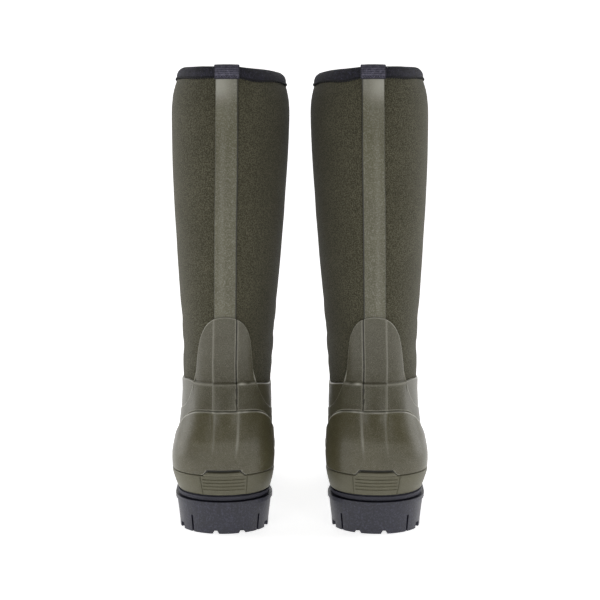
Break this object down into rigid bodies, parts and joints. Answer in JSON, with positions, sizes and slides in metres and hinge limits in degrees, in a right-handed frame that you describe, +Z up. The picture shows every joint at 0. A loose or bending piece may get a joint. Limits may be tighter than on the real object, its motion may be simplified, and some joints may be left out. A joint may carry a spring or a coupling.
{
  "type": "pair of insulated hunting boots",
  "caption": "Pair of knee-height pull-on boots: rubber foot, neoprene shaft with bound collar and pull tab, lugged outsole, removable footbed.",
  "frame": {"origin": "on the ground, below the middle of the pair's bounding box", "axes": "+Z up, +Y towards the toes, +X towards the wearer's right boot"},
  "size_m": [0.2344, 0.3018, 0.4031],
  "materials": {
    "outsole_rubber": "matt black-grey moulded rubber",
    "boot_rubber": "matt olive-brown rubber",
    "counter_rubber": "matt dark olive rubber",
    "band_rubber": "satin olive-grey rubber",
    "tape_rubber": "satin olive tape",
    "neoprene": "matt knit-faced foam",
    "eva_foam": "matt black foam",
    "footbed_foam": "matt dark grey foam",
    "fleece": "brushed fleece",
    "binding_fabric": "woven stretch binding",
    "tab_webbing": "ribbed webbing",
    "board": "fibre board",
    "stiffener": "moulded sheet",
    "shank_steel": "spring steel strip"
  },
  "bodies": {
    "left_foot": {"left_outsole": "outsole_rubber", "left_midsole": "eva_foam", "left_shank": "shank_steel", "left_galosh": "boot_rubber", "left_toe_cap": "boot_rubber", "left_heel_counter": "counter_rubber", "left_heel_patch": "band_rubber", "left_foxing_band": "band_rubber", "left_neoprene_sock": "neoprene", "left_foot_lining": "fleece", "left_insole_board": "board", "left_heel_stiffener": "stiffener", "left_toe_puff": "stiffener", "left_achilles_overlay": "boot_rubber", "left_instep_overlay": "boot_rubber"},
    "left_footbed": {"left_footbed": "footbed_foam", "left_footbed_cover": "fleece"},
    "left_shaft": {"left_neoprene_ankle": "neoprene", "left_neoprene_shaft": "neoprene", "left_shaft_lining": "fleece", "left_back_strip": "tape_rubber", "left_top_binding": "binding_fabric", "left_pull_tab": "tab_webbing"},
    "right_foot": {"right_outsole": "outsole_rubber", "right_midsole": "eva_foam", "right_shank": "shank_steel", "right_galosh": "boot_rubber", "right_toe_cap": "boot_rubber", "right_heel_counter": "counter_rubber", "right_heel_patch": "band_rubber", "right_foxing_band": "band_rubber", "right_neoprene_sock": "neoprene", "right_foot_lining": "fleece", "right_insole_board": "board", "right_heel_stiffener": "stiffener", "right_toe_puff": "stiffener", "right_achilles_overlay": "boot_rubber", "right_instep_overlay": "boot_rubber"},
    "right_footbed": {"right_footbed": "footbed_foam", "right_footbed_cover": "fleece"},
    "right_shaft": {"right_neoprene_ankle": "neoprene", "right_neoprene_shaft": "neoprene", "right_shaft_lining": "fleece", "right_back_strip": "tape_rubber", "right_top_binding": "binding_fabric", "right_pull_tab": "tab_webbing"}
  },
  "joints": [
    {"name": "right_boot_lift", "type": "slide", "parent": "left_foot", "child": "right_foot", "axis": [0, 0, 1], "range_m": [0, 0.45]},
    {"name": "left_ankle_flex", "type": "hinge", "parent": "left_foot", "child": "left_shaft", "pos_m": [-0.06858, -0.06457, 0.1338], "axis": [-0.9986, -0.0523, 0], "range_deg": [-8, 14], "stiffness_Nm_per_rad": 4, "deforming": ["left_neoprene_ankle", "left_shaft_lining", "left_back_strip", "left_achilles_overlay", "left_instep_overlay"]},
    {"name": "left_footbed_lift", "type": "hinge", "parent": "left_foot", "child": "left_footbed", "pos_m": [-0.07122, 0.13857, 0.0461], "axis": [-0.9986, -0.0523, 0], "range_deg": [0, 4]},
    {"name": "right_ankle_flex", "type": "hinge", "parent": "right_foot", "child": "right_shaft", "pos_m": [0.06858, -0.06457, 0.1338], "axis": [-0.9986, 0.0523, 0], "range_deg": [-8, 14], "stiffness_Nm_per_rad": 4, "deforming": ["right_neoprene_ankle", "right_shaft_lining", "right_back_strip", "right_achilles_overlay", "right_instep_overlay"]},
    {"name": "right_footbed_lift", "type": "hinge", "parent": "right_foot", "child": "right_footbed", "pos_m": [0.07122, 0.13857, 0.0461], "axis": [-0.9986, 0.0523, 0], "range_deg": [0, 4]}
  ]
}
